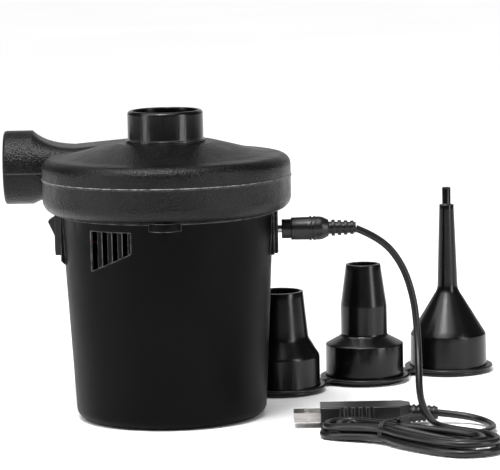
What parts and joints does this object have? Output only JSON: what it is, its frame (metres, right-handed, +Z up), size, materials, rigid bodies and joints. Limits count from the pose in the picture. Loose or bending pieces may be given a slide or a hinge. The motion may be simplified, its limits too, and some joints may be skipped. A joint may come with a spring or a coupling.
{
  "type": "electric air pump",
  "caption": "Rechargeable centrifugal air pump with axial intake, side outlet, rocker switch, plugged-in USB charging cable and tethered slip-on nozzles.",
  "frame": {"origin": "centre of the bucket's flat base", "axes": "+Z up along the rotor's axis and out of the intake port, -X from the axis to the switch and the side outlet's mouth, +X to the charging socket, -Y the front"},
  "size_m": [0.2428, 0.2568, 0.1469],
  "materials": {
    "head_black": "fine-grained matte",
    "bucket_black": "smooth satin",
    "gloss_black": "glossy",
    "strap_black": "glossy, flexible",
    "switch_black": "satin",
    "cable_black": "glossy PVC",
    "tie_black": "matte, wire cored",
    "nickel": "plated",
    "gold": "plated",
    "tongue_white": "matte",
    "motor_steel": "plated",
    "screw_steel": "zinc plated",
    "bushing_bronze": "sintered",
    "magnet_dark": "ferrite",
    "copper": "copper",
    "inner_plastic": "plain moulded",
    "cell_wrap": "shrink wrap",
    "board_green": "solder mask",
    "board_parts": "moulded",
    "wire_red": "PVC",
    "wire_black": "PVC"
  },
  "bodies": {
    "pump": {"lower_volute": "head_black", "upper_cover": "head_black", "base_housing": "bucket_black", "jack_plate": "bucket_black", "intake_spigot": "gloss_black", "switch_frame": "switch_black", "dc_jack_body": "switch_black", "contact_strip_lower": "nickel", "contact_strip_upper": "nickel", "switch_terminals": "gold", "jack_centre_pin": "gold", "motor_can": "motor_steel", "cover_screws": "screw_steel", "motor_screws": "screw_steel", "motor_bushing_lower": "bushing_bronze", "motor_bushing_upper": "bushing_bronze", "motor_magnet_left": "magnet_dark", "motor_magnet_right": "magnet_dark", "motor_brushes": "copper", "motor_end_cap": "inner_plastic", "battery_tray": "inner_plastic", "battery_clamp": "inner_plastic", "board_bracket": "inner_plastic", "battery_cell_1": "cell_wrap", "battery_cell_2": "cell_wrap", "battery_cell_3": "cell_wrap", "control_board": "board_green", "board_parts": "board_parts", "wire_battery": "wire_red", "wire_motor_left": "wire_red", "wire_socket": "wire_red", "wire_switch": "wire_black", "wire_motor_right": "wire_black"},
    "rotor": {"motor_shaft": "motor_steel", "armature_core": "motor_steel", "armature_windings": "copper", "commutator": "copper", "impeller": "inner_plastic", "impeller_collar": "motor_steel"},
    "rocker": {"switch_rocker": "switch_black"},
    "cable": {"dc_plug_barrel": "nickel", "dc_plug_body": "cable_black", "charge_cord_lead": "cable_black", "charge_cord_hank": "cable_black", "charge_cord_tail": "cable_black", "cord_tie": "tie_black", "usb_plug_body": "cable_black", "usb_shell": "nickel", "usb_tongue": "tongue_white", "usb_contacts": "gold"},
    "nozzles_medium": {"nozzle_medium": "gloss_black", "strap_medium": "strap_black"},
    "nozzles_needle": {"nozzle_needle": "gloss_black", "strap_needle": "strap_black"},
    "nozzles_wide": {"nozzle_wide": "gloss_black", "strap_wide": "strap_black"}
  },
  "joints": [
    {"name": "rotor_spin", "type": "hinge", "parent": "pump", "child": "rotor", "pos_m": [0, 0, 0.1], "axis": [0, 0, 1], "continuous": true},
    {"name": "switch_rock", "type": "hinge", "parent": "pump", "child": "rocker", "pos_m": [-0.0515, 0, 0.0889], "axis": [0, 1, 0], "range_deg": [0, 24]},
    {"name": "plug_pull", "type": "slide", "parent": "pump", "child": "cable", "axis": [1, 0, 0], "range_m": [0, 0.014]},
    {"name": "nozzle_set_lift", "type": "slide", "parent": "pump", "child": "nozzles_medium", "axis": [0, 0, 1], "range_m": [0, 0.06]},
    {"name": "strap_bend_needle", "type": "hinge", "parent": "nozzles_medium", "child": "nozzles_needle", "pos_m": [0.11808, 0.09675, 0.0026], "axis": [0.5, -0.866, 0], "range_deg": [0, 26]},
    {"name": "strap_bend_wide", "type": "hinge", "parent": "nozzles_medium", "child": "nozzles_wide", "pos_m": [0.07457, 0.07162, 0.0026], "axis": [-0.5, 0.866, 0], "range_deg": [0, 20]}
  ]
}
